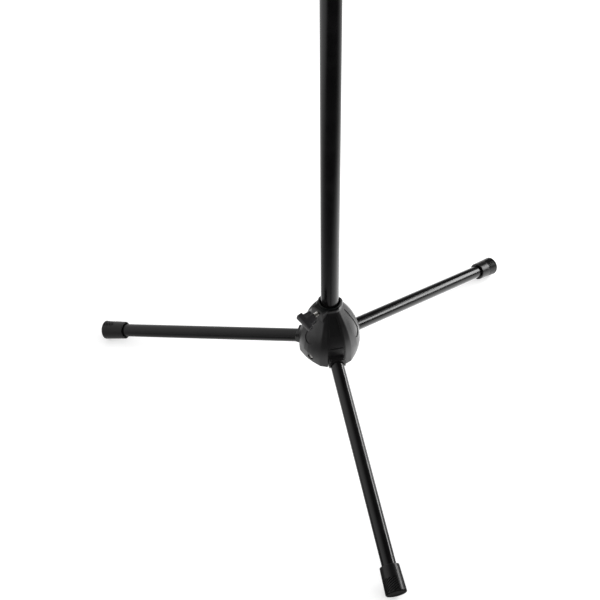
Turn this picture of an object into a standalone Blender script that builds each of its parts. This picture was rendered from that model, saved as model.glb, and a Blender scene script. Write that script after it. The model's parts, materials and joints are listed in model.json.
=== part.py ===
"""Straight microphone stand on a folding three-legged base.

Units are metres and +Z is up. The stand rests on the floor at z = 0 with its legs spread.
The mast stands a little behind the middle of the footprint, because one leg points
forward (-Y) and two point back, so every piece hangs under an empty on the mast's axis.
"""
import math

import bmesh
import bpy

# Mast, the lower tube
MAST_OD = 0.0235
MAST_WALL = 0.0013
MAST_TOP = 0.850
MAST_RAISE = 0.025

# Rod, the inner tube that sets the height
ROD_OD = 0.0160
ROD_WALL = 0.0012
ROD_SPACE = 0.050
ROD_RISE = 0.075

# Threaded stud on the rod, a 5/8 inch microphone thread
STUD_OD = 0.0159
STUD_LENGTH = 0.0225
STUD_CHAMFER = 0.0010
STUD_FLANGE_OD = 0.0186
STUD_FLANGE_HEIGHT = 0.0030
STUD_SPIGOT_LENGTH = 0.020

# Legs
LEG_AZIMUTHS = {"front": 270.0, "right": 30.0, "left": 150.0}
LEG_OD = 0.0180
LEG_WALL = 0.0012
LEG_DROP = math.radians(15.11)
LEG_REACH = 0.3224
LEG_HEEL = 0.0042
PIVOT_INSET = 0.0119

# Rubber feet
FOOT_LENGTH = 0.0339
FOOT_R_RIM = 0.0122
FOOT_R_END = 0.0133
FOOT_EDGE = 0.0015
FOOT_LIP = 0.0006
FOOT_MOUTH_R = 0.0107
FOOT_MOUTH_DEPTH = 0.0025
FOOT_END_WALL = 0.006
FOOT_SOLE_DEPTH = 0.0006

# Hub shell, with heights measured from the leg pivots
HUB_RIM = -0.0097
HUB_SHOULDER = 0.0069
HUB_NECK = 0.0668
HUB_TOP = 0.0714
HUB_R = 0.0409
HUB_NECK_R = 0.0176
HUB_TOP_R = 0.0172
HUB_CURVE = 1.95
HUB_WALL = 0.0028
HUB_ROOF = 0.052
HUB_EDGE = 0.0007
HUB_EDGE_ANGLE = 14.0
HUB_RINGS = 9
CAVITY_RINGS = 4
LEG_FACET_HALF = math.radians(18.0)
CORNER_FACET_HALF = math.radians(31.0)
BROAD_FACET_STEPS = 6
BULGE_RIM = 0.0024
BULGE_BELLY = 0.0050
BULGE_TOP = 0.0008
BELLY_HEIGHT = 0.004

# Openings and reliefs in the hub shell
SLOT_TOP = 0.0171
SLOT_BACK = 0.005
BROW_LOW = 0.0212
BROW_HIGH = 0.0232
BROW_HALF = 0.0095
BROW_DEPTH = 0.0006
LEG_SCOOP_LOW = 0.039
LEG_SCOOP_TOP = 0.0634
LEG_SCOOP_HALF = 0.0050
LEG_SCOOP_FLARE = 0.0084
LEG_SCOOP_DEPTH = 0.0016
BROAD_SCOOP_LOW = 0.021
BROAD_SCOOP_TOP = 0.063
BROAD_SCOOP_HALF = 0.0090
BROAD_SCOOP_CROWN = 0.0030
BROAD_SCOOP_DEPTH = 0.0009

# Clamp lug, nut, screw and wing knob, on a radial axis
CLAMP_AZIMUTH = 210.0
CLAMP_Z = 0.0658
LUG_FACE = 0.0222
LUG_HALF = 0.0104
LUG_TOP = 0.0718
LUG_FLOOR = 0.0575
LUG_BOTTOM = 0.056
LUG_ROOT = 0.005
LUG_EDGE = 0.0006
LUG_WALL = 0.0024
NUT_WIDTH = 0.0100
NUT_THICK = 0.0050
NUT_EDGE = 0.0005
CLAMP_SCREW_OD = 0.0060
CLAMP_SCREW_LENGTH = 0.0308
PAD_OD = 0.0058
PAD_THICK = 0.0015
KNOB_START = 0.0285
KNOB_END = 0.0478
KNOB_TILT = math.radians(-16.0)
KNOB_BOSS_R = 0.0050
KNOB_BOSS_LENGTH = 0.0150
KNOB_WEB_START = 0.0080
KNOB_WEB_END = 0.0092
KNOB_WEB_THICK = 0.0078
KNOB_BAR_HALF = 0.0123
KNOB_BAR_DEPTH = 0.0084
KNOB_BAR_THICK = 0.0080
KNOB_EDGE = 0.0010

# Sleeve that guides the mast in the hub: a collar with a shoe that fills the clamp lug
SLEEVE_WALL = 0.00115
SLEEVE_TOP = 0.0735
SLEEVE_LIP = 0.0004
COLLAR_RING_R = 0.0148
FUNNEL_R = 0.0133
FUNNEL_DEPTH = 0.0030
SHOE_HALF = 0.0078
SHOE_TOP = 0.0716
RIM_BORE_R = 0.0155
RIM_BORE_DEPTH = 0.0020

# Leg carrier inside the hub, and the leg pins
CARRIER_INSET = 0.0063
CARRIER_BORE_R = 0.0130
CARRIER_HEEL_GAP = 0.0005
CARRIER_FLOOR = -0.0094
CARRIER_THICK = 0.0030
EAR_THICK = 0.0030
EAR_HALF = 0.0045
EAR_TOP_R = 0.0052
PIN_OD = 0.0048
BLOCK_HALF = 0.0060
BLOCK_TOP = 0.0055
BLOCK_BACK = 0.0018

# Screws that hold the shell on the carrier
SHELL_SCREW_SWING = 6.5
SHELL_SCREW_Z = -0.0007
SHELL_BOSS_R = 0.0053
SHELL_BOSS_LENGTH = 0.0060
SHELL_SCREW_HEAD_R = 0.0038
SHELL_SCREW_HEAD_THICK = 0.0021
SHELL_SCREW_SHANK_R = 0.0016
SHELL_SCREW_BITE = 0.0060
SHELL_SEAT_INSET = 0.0049
SHELL_SCREW_WELL_R = 0.0046
DRIVE_WIDTH = 0.0009
DRIVE_SPAN = 0.0038
DRIVE_DEPTH = 0.0010
PAN_RIM_SHARE = 0.4
PAN_CROWN_SHARE = 0.6

# Leg bracket, with lengths measured from its pivot
BRACKET_HALF = 0.0110
BRACKET_HEEL_R = 0.0095
BRACKET_BACK = 0.0040
BRACKET_FACE_INSET = 0.0003
COLLAR_TOP = 0.0073
COLLAR_MOUTH = 0.0160
COLLAR_MOUTH_TOP = 0.0066
CHEEK_TIP = -0.0054
CHEEK_HEEL = -0.0088
COLLAR_SHOULDER = 0.0030
FRAME_HALF = 0.0097
FRAME_MARGIN = 0.0009
FRAME_WIDTH = 0.0008
FRAME_DEPTH = 0.0007

# Plug on the mast's lower end
PLUG_FLANGE_R = 0.0233
PLUG_FLANGE_THICK = 0.0012
PLUG_SHOULDER_R = 0.0135
PLUG_NECK_HEIGHT = 0.0120
PLUG_SPIGOT = 0.018
PLUG_BOTTOM_R = 0.0140
PLUG_WALL = 0.0025

# Twist clutch at the mast's top
CLUTCH_BASE_OD = 0.0300
CLUTCH_SKIRT = 0.024
CLUTCH_STEP = 0.004
CLUTCH_NECK_OD = 0.0252
CLUTCH_NECK_HEIGHT = 0.036
COLLET_WALL = 0.0020
COLLET_FLANGE_OD = 0.0240
COLLET_FLANGE_THICK = 0.0026
COLLET_SLIT = 0.0016
CLUTCH_EDGE = 0.0006
GRIP_OD = 0.0350
GRIP_FLUTES = 18
GRIP_FLUTE_STEPS = 4
GRIP_FLUTE_DEPTH = 0.0009
GRIP_ROOF = 0.005
GRIP_EDGE = 0.0012
GRIP_EDGE_ANGLE = 60.0

# Rod guide on the rod's lower end
GUIDE_LENGTH = 0.014
GUIDE_SPIGOT = 0.015
GUIDE_EDGE = 0.0008

# Gaps between pieces, and how finely round pieces are drawn
GAP = 0.0003
RUNNING_GAP = 0.00025
PIN_GAP = 0.0002
MAST_SIDES = 48
INNER_SIDES = 36
LEG_SIDES = 32
SMALL_SIDES = 24
SCREW_SIDES = 16
ARC_STEPS = 10
CUT_MARGIN = 0.010

# Values that follow from the driving dimensions
MAST_R = MAST_OD / 2
MAST_BORE_R = MAST_R - MAST_WALL
ROD_R = ROD_OD / 2
ROD_BORE_R = ROD_R - ROD_WALL
LEG_R = LEG_OD / 2
PIN_R = PIN_OD / 2
ROD_TOP = MAST_TOP + ROD_RISE
PIVOT_R = HUB_R - PIVOT_INSET
SLOT_INNER_R = PIVOT_R - SLOT_BACK
CARRIER_R = HUB_R - CARRIER_INSET
CARRIER_RING_R = PIVOT_R - BRACKET_HEEL_R - CARRIER_HEEL_GAP
SHELL_SCREW_SEAT = HUB_R - SHELL_SEAT_INSET
SHELL_BOSS_FACE = SHELL_SCREW_SEAT - SHELL_BOSS_LENGTH
SHELL_SCREW_TIP = SHELL_BOSS_FACE - SHELL_SCREW_BITE
BLOCK_INNER_R = SHELL_SCREW_TIP - BLOCK_BACK
SLEEVE_BORE_R = MAST_R + RUNNING_GAP
SLEEVE_R = SLEEVE_BORE_R + SLEEVE_WALL
SLOT_HALF = BRACKET_HALF + GAP
LEG_FACE = math.cos(LEG_FACET_HALF)
BROAD_FACE = math.cos(math.radians(60.0) - CORNER_FACET_HALF)
FOOT_TIP_R = PIVOT_R + LEG_REACH * math.cos(LEG_DROP)
MAST_Y = FOOT_TIP_R / 4
PIVOT_Z = ((LEG_REACH - FOOT_EDGE) * math.sin(LEG_DROP)
           + (FOOT_R_END - FOOT_EDGE) * math.cos(LEG_DROP) + FOOT_EDGE - FOOT_SOLE_DEPTH)
SLEEVE_BOTTOM = PLUG_NECK_HEIGHT + MAST_RAISE + GAP
ROD_BOTTOM = PIVOT_Z + PLUG_NECK_HEIGHT + PLUG_SPIGOT + ROD_SPACE + GUIDE_LENGTH + GAP

# Colours, roughness and metallic value of each finish
BLACK_PAINT = ((0.018, 0.017, 0.018), 0.32, 0.0)
BLACK_NYLON = ((0.022, 0.021, 0.022), 0.48, 0.0)
BLACK_RUBBER = ((0.020, 0.020, 0.020), 0.75, 0.0)
ZINC_PLATE = ((0.78, 0.77, 0.74), 0.28, 1.0)
DARK_STEEL = ((0.20, 0.20, 0.21), 0.40, 1.0)


def clear_scene():
    """Remove whatever the scene holds."""
    for item in list(bpy.data.objects):
        bpy.data.objects.remove(item, do_unlink=True)


def new_collection(name):
    """Make a collection in the scene."""
    collection = bpy.data.collections.new(name)
    bpy.context.scene.collection.children.link(collection)
    return collection


clear_scene()
STAND = new_collection("microphone_stand")
TOOLS = new_collection("cutters")


def place(item, collection, parent=None, location=(0.0, 0.0, 0.0), rotation=(0.0, 0.0, 0.0)):
    """Link an object, hang it under its parent and set its place."""
    collection.objects.link(item)
    item.parent = parent
    item.location = location
    item.rotation_euler = rotation
    return item


def empty(name, parent=None, location=(0.0, 0.0, 0.0), rotation=(0.0, 0.0, 0.0)):
    """A bare axis that pieces hang under."""
    return place(bpy.data.objects.new(name, None), STAND, parent, location, rotation)


def coat(item, finish):
    """Give a piece its own material."""
    colour, roughness, metallic = finish
    material = bpy.data.materials.new(item.name)
    material.use_nodes = True
    shader = material.node_tree.nodes["Principled BSDF"]
    shader.inputs["Base Color"].default_value = (*colour, 1.0)
    shader.inputs["Roughness"].default_value = roughness
    shader.inputs["Metallic"].default_value = metallic
    item.data.materials.clear()
    item.data.materials.append(material)
    return item


def as_tool(item):
    """Move an object to the cutters, drawn as wire and left out of the render."""
    for collection in list(item.users_collection):
        collection.objects.unlink(item)
    TOOLS.objects.link(item)
    item.hide_render = True
    item.display_type = "WIRE"
    return item


def combine(item, other, operation, solver="EXACT"):
    """Cut or join a piece with another one, which becomes a tool."""
    step = item.modifiers.new(other.name, "BOOLEAN")
    step.operation = operation
    step.solver = solver
    step.object = as_tool(other)
    return item


def bevel(item, width, segments=2, angle=30.0):
    """Round a piece's sharp edges."""
    step = item.modifiers.new("bevel", "BEVEL")
    step.width = width
    step.segments = segments
    step.limit_method = "ANGLE"
    step.angle_limit = math.radians(angle)
    return item


def turned(name, profile, sides, closed=False, **where):
    """Turn a profile of (radius, height) points about the local Z axis."""
    mesh = bpy.data.meshes.new(name)
    edges = [(k, k + 1) for k in range(len(profile) - 1)]
    if closed:
        edges.append((len(profile) - 1, 0))
    mesh.from_pydata([(radius, 0.0, height) for radius, height in profile], edges, [])
    item = place(bpy.data.objects.new(name, mesh), STAND, **where)
    screw = item.modifiers.new("turn", "SCREW")
    screw.axis = "Z"
    screw.steps = sides
    screw.render_steps = sides
    screw.use_merge_vertices = True
    screw.merge_threshold = 0.00001
    return item


def ring(name, outer, inner, low, high, sides, **where):
    """A plain hollow cylinder."""
    profile = [(outer, high), (outer, low), (inner, low), (inner, high)]
    return turned(name, profile, sides, closed=True, **where)


def solid(name, form, **where):
    """Turn a finished bmesh into an object."""
    mesh = bpy.data.meshes.new(name)
    form.to_mesh(mesh)
    form.free()
    return place(bpy.data.objects.new(name, mesh), STAND, **where)


def rod(name, radius, low, high, sides, **where):
    """A plain solid cylinder along the local Z axis."""
    form = bmesh.new()
    bmesh.ops.create_cone(form, cap_ends=True, segments=sides, radius1=radius, radius2=radius,
                          depth=high - low)
    bmesh.ops.translate(form, verts=form.verts, vec=(0.0, 0.0, (low + high) / 2))
    return solid(name, form, **where)


def box(name, low, high, **where):
    """A box between two corners."""
    form = bmesh.new()
    bmesh.ops.create_cube(form, size=1.0)
    for vertex in form.verts:
        for axis in range(3):
            middle = (low[axis] + high[axis]) / 2
            vertex.co[axis] = middle + vertex.co[axis] * (high[axis] - low[axis])
    return solid(name, form, **where)


def slab(name, outline, low, high, **where):
    """A flat outline in the local XY plane, thick from low to high along local Z."""
    curve = bpy.data.curves.new(name, "CURVE")
    curve.dimensions = "2D"
    curve.fill_mode = "BOTH"
    curve.extrude = (high - low) / 2
    spline = curve.splines.new("POLY")
    spline.points.add(len(outline) - 1)
    for point, (x, y) in zip(spline.points, outline):
        point.co = (x, y, 0.0, 1.0)
    spline.use_cyclic_u = True
    flat = bpy.data.objects.new(name + "_outline", curve)
    STAND.objects.link(flat)
    bpy.context.view_layer.update()
    mesh = bpy.data.meshes.new_from_object(flat.evaluated_get(bpy.context.evaluated_depsgraph_get()))
    bpy.data.objects.remove(flat, do_unlink=True)
    form = bmesh.new()
    form.from_mesh(mesh)
    bmesh.ops.remove_doubles(form, verts=form.verts, dist=0.000001)
    bmesh.ops.translate(form, verts=form.verts, vec=(0.0, 0.0, (low + high) / 2))
    bmesh.ops.recalc_face_normals(form, faces=form.faces)
    form.to_mesh(mesh)
    form.free()
    mesh.name = name
    return place(bpy.data.objects.new(name, mesh), STAND, **where)


def arc(centre, radius, start, end, steps):
    """Points along an arc, with angles in degrees."""
    points = []
    for k in range(steps + 1):
        angle = math.radians(start + (end - start) * k / steps)
        points.append((centre[0] + radius * math.cos(angle), centre[1] + radius * math.sin(angle)))
    return points


def smooth_shade(item, angle=30.0):
    """Shade the round sides smooth and keep the sharp edges."""
    item.data.shade_smooth()
    item.data.set_sharp_from_angle(angle=math.radians(angle))
    return item


def hub_radius(height):
    """Distance from the mast's axis to the shell's corners at a height above the pivots."""
    if height > HUB_NECK:
        return HUB_NECK_R + (HUB_TOP_R - HUB_NECK_R) * (height - HUB_NECK) / (HUB_TOP - HUB_NECK)
    share = max(0.0, (height - HUB_SHOULDER) / (HUB_NECK - HUB_SHOULDER))
    return HUB_R - (HUB_R - HUB_NECK_R) * share ** HUB_CURVE


def hub_bulge(height):
    """How far the broad faces swell past their chord at a height above the pivots."""
    if height < BELLY_HEIGHT:
        share = (BELLY_HEIGHT - height) / (BELLY_HEIGHT - HUB_RIM)
        end = BULGE_RIM
    else:
        share = (height - BELLY_HEIGHT) / (HUB_TOP - BELLY_HEIGHT)
        end = BULGE_TOP
    blend = 0.5 - 0.5 * math.cos(math.pi * min(1.0, share))
    return BULGE_BELLY + (end - BULGE_BELLY) * blend


def hub_ring(height, inset):
    """One level of the shell: a flat face on each leg, narrow corners, broad bulged faces between."""
    radius = hub_radius(height)
    bulge = hub_bulge(height)
    third = math.radians(120.0)
    broad_half = third / 2 - CORNER_FACET_HALF
    points = []
    for azimuth in sorted(LEG_AZIMUTHS.values()):
        leg = math.radians(azimuth)
        level = [(angle, radius) for angle in (-LEG_FACET_HALF, LEG_FACET_HALF, CORNER_FACET_HALF)]
        for k in range(1, BROAD_FACET_STEPS):
            off = broad_half * (2.0 * k / BROAD_FACET_STEPS - 1.0)
            chord = radius * math.cos(broad_half) / math.cos(off)
            swell = bulge * math.cos(math.pi / 2 * off / broad_half)
            level.append((third / 2 + off, chord + swell))
        level.append((third - CORNER_FACET_HALF, radius))
        for angle, reach in level:
            points.append(((reach - inset) * math.cos(leg + angle),
                           (reach - inset) * math.sin(leg + angle), height))
    return points


def loft(name, rings, **where):
    """Skin a stack of rings that have the same number of points, lowest first, and close its ends."""
    count = len(rings[0])
    vertices = [point for level in rings for point in level]
    faces = [tuple(reversed(range(count)))]
    for level in range(len(rings) - 1):
        for k in range(count):
            a = level * count + k
            b = level * count + (k + 1) % count
            faces.append((a, b, b + count, a + count))
    faces.append(tuple(range((len(rings) - 1) * count, len(rings) * count)))
    mesh = bpy.data.meshes.new(name)
    mesh.from_pydata(vertices, [], faces)
    return place(bpy.data.objects.new(name, mesh), STAND, **where)


def hub_heights(low, high, count):
    """Levels of the shell: a straight skirt, then even steps where it curves in up to its neck."""
    heights = [low, (low + HUB_SHOULDER) / 2, HUB_SHOULDER]
    last = min(high, HUB_NECK)
    for k in range(1, count + 1):
        heights.append(HUB_SHOULDER + (last - HUB_SHOULDER) * k / count)
    if high > HUB_NECK:
        heights.append(high)
    return heights


def face_distance(height, broad):
    """Distance from the mast's axis to the middle of a broad face or of a leg's face."""
    if broad:
        return hub_radius(height) * BROAD_FACE + hub_bulge(height)
    return hub_radius(height) * LEG_FACE


def relief(name, hub, azimuth, broad, low, top, outline, depth, sink):
    """Prism for a relief, leaning with the face it cuts and going in by depth at its top."""
    foot = face_distance(low, broad)
    head = face_distance(top, broad) - depth
    lean = math.atan2(foot - head, top - low)
    frame = empty(name + "_frame", hub, (0.0, 0.0, 0.0), (0.0, 0.0, math.radians(azimuth)))
    slope = empty(name + "_slope", frame, (foot, 0.0, low), (0.0, -lean, 0.0))
    return slab(name, outline, -sink, CUT_MARGIN, parent=slope,
                rotation=(math.radians(90.0), 0.0, math.radians(90.0)))


def leg_scoop(name, hub, azimuth):
    """Flat scoop above a leg: arched at its top and running out at its foot."""
    rise = LEG_SCOOP_TOP - LEG_SCOOP_LOW
    run = face_distance(LEG_SCOOP_LOW, False) - face_distance(LEG_SCOOP_TOP, False) + LEG_SCOOP_DEPTH
    length = math.hypot(rise, run)
    outline = arc((0.0, length - LEG_SCOOP_HALF), LEG_SCOOP_HALF, 0.0, 180.0, ARC_STEPS)
    outline += [(-LEG_SCOOP_FLARE, 0.0), (LEG_SCOOP_FLARE, 0.0)]
    return relief(name, hub, azimuth, False, LEG_SCOOP_LOW, LEG_SCOOP_TOP, outline, LEG_SCOOP_DEPTH, 0.0)


def broad_scoop(name, hub, azimuth, core):
    """Shallow drop on a broad face: a prism less the core, which leaves the same depth all over."""
    rise = BROAD_SCOOP_TOP - BROAD_SCOOP_LOW
    run = face_distance(BROAD_SCOOP_LOW, True) - face_distance(BROAD_SCOOP_TOP, True)
    length = math.hypot(rise, run)
    outline = arc((0.0, length - BROAD_SCOOP_CROWN), BROAD_SCOOP_CROWN, 0.0, 180.0, ARC_STEPS)
    outline += arc((0.0, BROAD_SCOOP_HALF), BROAD_SCOOP_HALF, 180.0, 360.0, ARC_STEPS)
    drop = relief(name, hub, azimuth, True, BROAD_SCOOP_LOW, BROAD_SCOOP_TOP, outline, 0.0, CUT_MARGIN / 2)
    return combine(drop, core, "DIFFERENCE")


def make_shell(hub):
    """The moulded hub shell that the mast, the clamp and the legs meet in."""
    levels = [hub_ring(height, 0.0) for height in hub_heights(HUB_RIM, HUB_TOP, HUB_RINGS)]
    shell = loft("hub_shell", levels, parent=hub)
    bevel(shell, HUB_EDGE, 1, HUB_EDGE_ANGLE)

    facing = (0.0, 0.0, math.radians(CLAMP_AZIMUTH))
    lug = box("clamp_lug", (LUG_ROOT, -LUG_HALF, LUG_BOTTOM), (LUG_FACE, LUG_HALF, LUG_TOP),
              parent=hub, rotation=facing)
    combine(shell, bevel(lug, LUG_EDGE), "UNION", "MANIFOLD")

    def cut(tool):
        """The shell has too many crossing cuts for the exact solver."""
        combine(shell, tool, "DIFFERENCE", "MANIFOLD")

    hollow = [hub_ring(height, HUB_WALL) for height in hub_heights(HUB_RIM + GAP, HUB_ROOF, CAVITY_RINGS)]
    mouth = [(x, y, HUB_RIM - CUT_MARGIN) for x, y, z in hollow[0]]
    cavity = loft("cavity", [mouth] + hollow, parent=hub)
    for name, azimuth in LEG_AZIMUTHS.items():
        spot = screw_axis(hub, "boss_" + name, azimuth)
        boss = rod("screw_boss_" + name, SHELL_BOSS_R, SHELL_BOSS_FACE, HUB_R + CUT_MARGIN,
                   SCREW_SIDES, parent=spot)
        combine(cavity, boss, "DIFFERENCE")
    cut(cavity)

    above = LUG_TOP + CUT_MARGIN
    cut(rod("sleeve_bore", SLEEVE_R + GAP, HUB_ROOF - CUT_MARGIN, above, MAST_SIDES, parent=hub))
    cut(rod("collar_bore", COLLAR_RING_R + GAP, LUG_FLOOR, above, MAST_SIDES, parent=hub))
    cut(rod("rim_bore", RIM_BORE_R, HUB_TOP - RIM_BORE_DEPTH, above, MAST_SIDES, parent=hub))
    cut(box("shoe_pocket", (0.0, -SHOE_HALF - GAP, LUG_FLOOR),
            (LUG_FACE - LUG_WALL, SHOE_HALF + GAP, above), parent=hub, rotation=facing))
    clamp = radial_axis(hub, "lug_hole_axis", CLAMP_AZIMUTH, CLAMP_Z)
    cut(rod("lug_hole", CLAMP_SCREW_OD / 2 + GAP, SLEEVE_R, LUG_FACE + CUT_MARGIN, SMALL_SIDES,
            parent=clamp))

    core = loft("scoop_core", [hub_ring(height, BROAD_SCOOP_DEPTH)
                               for height in hub_heights(HUB_RIM, HUB_TOP, HUB_RINGS)], parent=hub)
    for name, azimuth in LEG_AZIMUTHS.items():
        turn = (0.0, 0.0, math.radians(azimuth))
        cut(box("slot_" + name, (SLOT_INNER_R, -SLOT_HALF, HUB_RIM - CUT_MARGIN),
                (HUB_R + CUT_MARGIN, SLOT_HALF, SLOT_TOP), parent=hub, rotation=turn))
        face = hub_radius(BROW_HIGH) * LEG_FACE
        cut(box("brow_" + name, (face - BROW_DEPTH, -BROW_HALF, BROW_LOW),
                (face + CUT_MARGIN, BROW_HALF, BROW_HIGH), parent=hub, rotation=turn))
        cut(leg_scoop("leg_scoop_" + name, hub, azimuth))
        cut(broad_scoop("broad_scoop_" + name, hub, azimuth + 60.0, core))
        spot = screw_axis(hub, "well_" + name, azimuth)
        cut(rod("screw_well_" + name, SHELL_SCREW_WELL_R, SHELL_SCREW_SEAT, HUB_R + CUT_MARGIN,
                SCREW_SIDES, parent=spot))
        cut(rod("shell_drill_" + name, SHELL_SCREW_SHANK_R + GAP, SHELL_BOSS_FACE - GAP, HUB_R,
                SCREW_SIDES, parent=spot))
    return coat(smooth_shade(shell), BLACK_NYLON)


def radial_axis(parent, name, azimuth, height):
    """An empty whose local Z points straight out from the mast at an azimuth and a height."""
    turn = empty(name + "_turn", parent, (0.0, 0.0, height), (0.0, 0.0, math.radians(azimuth)))
    return empty(name, turn, rotation=(0.0, math.radians(90.0), 0.0))


def screw_axis(hub, name, leg_azimuth):
    """The radial axis of a shell screw, on the broad face that follows a leg."""
    return radial_axis(hub, name, leg_azimuth + 60.0 + SHELL_SCREW_SWING, SHELL_SCREW_Z)


def make_shell_screws(hub):
    """Pan-head screws with a cross drive that hold the shell on the carrier."""
    for name, azimuth in LEG_AZIMUTHS.items():
        spot = screw_axis(hub, "shell_screw_axis_" + name, azimuth)
        seat = SHELL_SCREW_SEAT + GAP
        top = seat + SHELL_SCREW_HEAD_THICK
        rim = seat + SHELL_SCREW_HEAD_THICK * PAN_RIM_SHARE
        profile = [(0.0, top), (SHELL_SCREW_HEAD_R * PAN_CROWN_SHARE, (top + rim) / 2 + (top - rim) / 3),
                   (SHELL_SCREW_HEAD_R, rim), (SHELL_SCREW_HEAD_R, seat), (SHELL_SCREW_SHANK_R, seat),
                   (SHELL_SCREW_SHANK_R, SHELL_SCREW_TIP + SHELL_SCREW_SHANK_R), (0.0, SHELL_SCREW_TIP)]
        screw = turned("shell_screw_" + name, profile, SCREW_SIDES, parent=spot)
        for turn in (0.0, 90.0):
            bar = box("drive_%s_%d" % (name, turn), (-DRIVE_SPAN / 2, -DRIVE_WIDTH / 2, top - DRIVE_DEPTH),
                      (DRIVE_SPAN / 2, DRIVE_WIDTH / 2, top + CUT_MARGIN), parent=spot,
                      rotation=(0.0, 0.0, math.radians(turn + 45.0)))
            combine(screw, bar, "DIFFERENCE")
        coat(smooth_shade(screw), ZINC_PLATE)


def make_sleeve(hub):
    """The plastic sleeve that guides the mast, with a shoe that traps the clamp nut in the lug."""
    shoe_bottom = LUG_FLOOR + GAP
    profile = [(COLLAR_RING_R - SLEEVE_LIP, SLEEVE_TOP), (COLLAR_RING_R, SLEEVE_TOP - SLEEVE_LIP),
               (COLLAR_RING_R, shoe_bottom), (SLEEVE_R, shoe_bottom), (SLEEVE_R, SLEEVE_BOTTOM),
               (SLEEVE_BORE_R, SLEEVE_BOTTOM), (SLEEVE_BORE_R, SLEEVE_TOP - FUNNEL_DEPTH),
               (FUNNEL_R, SLEEVE_TOP)]
    sleeve = turned("mast_sleeve", profile, MAST_SIDES, closed=True, parent=hub)

    facing = (0.0, 0.0, math.radians(CLAMP_AZIMUTH))
    shoe_face = LUG_FACE - LUG_WALL - GAP
    shoe = box("sleeve_shoe", (SLEEVE_R, -SHOE_HALF, shoe_bottom), (shoe_face, SHOE_HALF, SHOE_TOP),
               parent=hub, rotation=facing)
    combine(sleeve, shoe, "UNION")
    nut_half = NUT_WIDTH / 2 + GAP
    nut_seat = shoe_face - NUT_THICK - GAP
    slot = box("nut_slot", (nut_seat, -nut_half, shoe_bottom - CUT_MARGIN),
               (shoe_face + CUT_MARGIN, nut_half, CLAMP_Z + nut_half), parent=hub, rotation=facing)
    combine(sleeve, slot, "DIFFERENCE")
    clamp = radial_axis(hub, "sleeve_hole_axis", CLAMP_AZIMUTH, CLAMP_Z)
    hole = rod("sleeve_hole", CLAMP_SCREW_OD / 2 + GAP, 0.0, LUG_FACE, SMALL_SIDES, parent=clamp)
    combine(sleeve, hole, "DIFFERENCE")
    return coat(smooth_shade(sleeve), BLACK_NYLON)


def make_carrier(hub):
    """The inner frame that the legs are pinned to, and that the shell is screwed to."""
    carrier = ring("leg_carrier", CARRIER_R, CARRIER_BORE_R, CARRIER_FLOOR,
                   CARRIER_FLOOR + CARRIER_THICK, MAST_SIDES, parent=hub)
    for name, azimuth in LEG_AZIMUTHS.items():
        turn = (0.0, 0.0, math.radians(azimuth))
        slot = box("carrier_slot_" + name, (CARRIER_RING_R, -SLOT_HALF, CARRIER_FLOOR - CUT_MARGIN),
                   (CARRIER_R + CUT_MARGIN, SLOT_HALF, CUT_MARGIN), parent=hub, rotation=turn)
        combine(carrier, slot, "DIFFERENCE")
        pivot = leg_axis(hub, "ear_" + name, azimuth)
        outline = arc((0.0, 0.0), EAR_TOP_R, 150.0, 30.0, 8)
        sink = CARRIER_FLOOR + CARRIER_THICK / 2
        outline += [(EAR_HALF, sink), (-EAR_HALF, sink)]
        for side in (-1.0, 1.0):
            inner = side * SLOT_HALF
            outer = side * (SLOT_HALF + EAR_THICK)
            label = "%s_%s" % (name, "near" if side < 0 else "far")
            ear = slab("ear_" + label, outline, min(-inner, -outer), max(-inner, -outer),
                       parent=pivot, rotation=(math.radians(90.0), 0.0, 0.0))
            combine(carrier, ear, "UNION")
        hole = rod("pin_hole_" + name, PIN_R + PIN_GAP, -2 * SLOT_HALF, 2 * SLOT_HALF, SMALL_SIDES,
                   parent=pivot, rotation=(math.radians(90.0), 0.0, 0.0))
        combine(carrier, hole, "DIFFERENCE")
        turn = (0.0, 0.0, math.radians(azimuth + 60.0 + SHELL_SCREW_SWING))
        block = box("block_" + name, (BLOCK_INNER_R, -BLOCK_HALF, CARRIER_FLOOR + CARRIER_THICK / 2),
                    (SHELL_BOSS_FACE - GAP, BLOCK_HALF, BLOCK_TOP), parent=hub, rotation=turn)
        combine(carrier, block, "UNION")
        spot = screw_axis(hub, "carrier_drill_axis_" + name, azimuth)
        drill = rod("carrier_drill_" + name, SHELL_SCREW_SHANK_R + GAP, BLOCK_INNER_R - GAP,
                    SHELL_BOSS_FACE + CUT_MARGIN, SMALL_SIDES, parent=spot)
        combine(carrier, drill, "DIFFERENCE")
    return coat(smooth_shade(carrier), DARK_STEEL)


def leg_axis(parent, name, azimuth):
    """An empty on a leg's pivot: local X points out along the leg's azimuth and local Z is up."""
    angle = math.radians(azimuth)
    where = (PIVOT_R * math.cos(angle), PIVOT_R * math.sin(angle), 0.0)
    return empty(name + "_axis", parent, where, (0.0, 0.0, angle))


def bracket_outline():
    """Side view of a leg bracket: round heel, tall head behind the slot, collar over the tube."""
    head_top = SLOT_TOP - GAP
    face_top = hub_radius(head_top) * LEG_FACE - PIVOT_R - BRACKET_FACE_INSET
    face_low = hub_radius(COLLAR_TOP) * LEG_FACE - PIVOT_R - BRACKET_FACE_INSET
    back = math.degrees(math.acos(-BRACKET_BACK / BRACKET_HEEL_R))
    under = 180.0 - math.degrees(math.asin(CHEEK_HEEL / BRACKET_HEEL_R))
    outline = [(face_top, head_top), (face_low, COLLAR_TOP), (COLLAR_MOUTH, COLLAR_MOUTH_TOP),
               (COLLAR_MOUTH, CHEEK_TIP)]
    outline += arc((0.0, 0.0), BRACKET_HEEL_R, under, back, 10)
    outline += arc((0.0, head_top - BRACKET_BACK), BRACKET_BACK, 180.0, 90.0, 4)
    return outline


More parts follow.
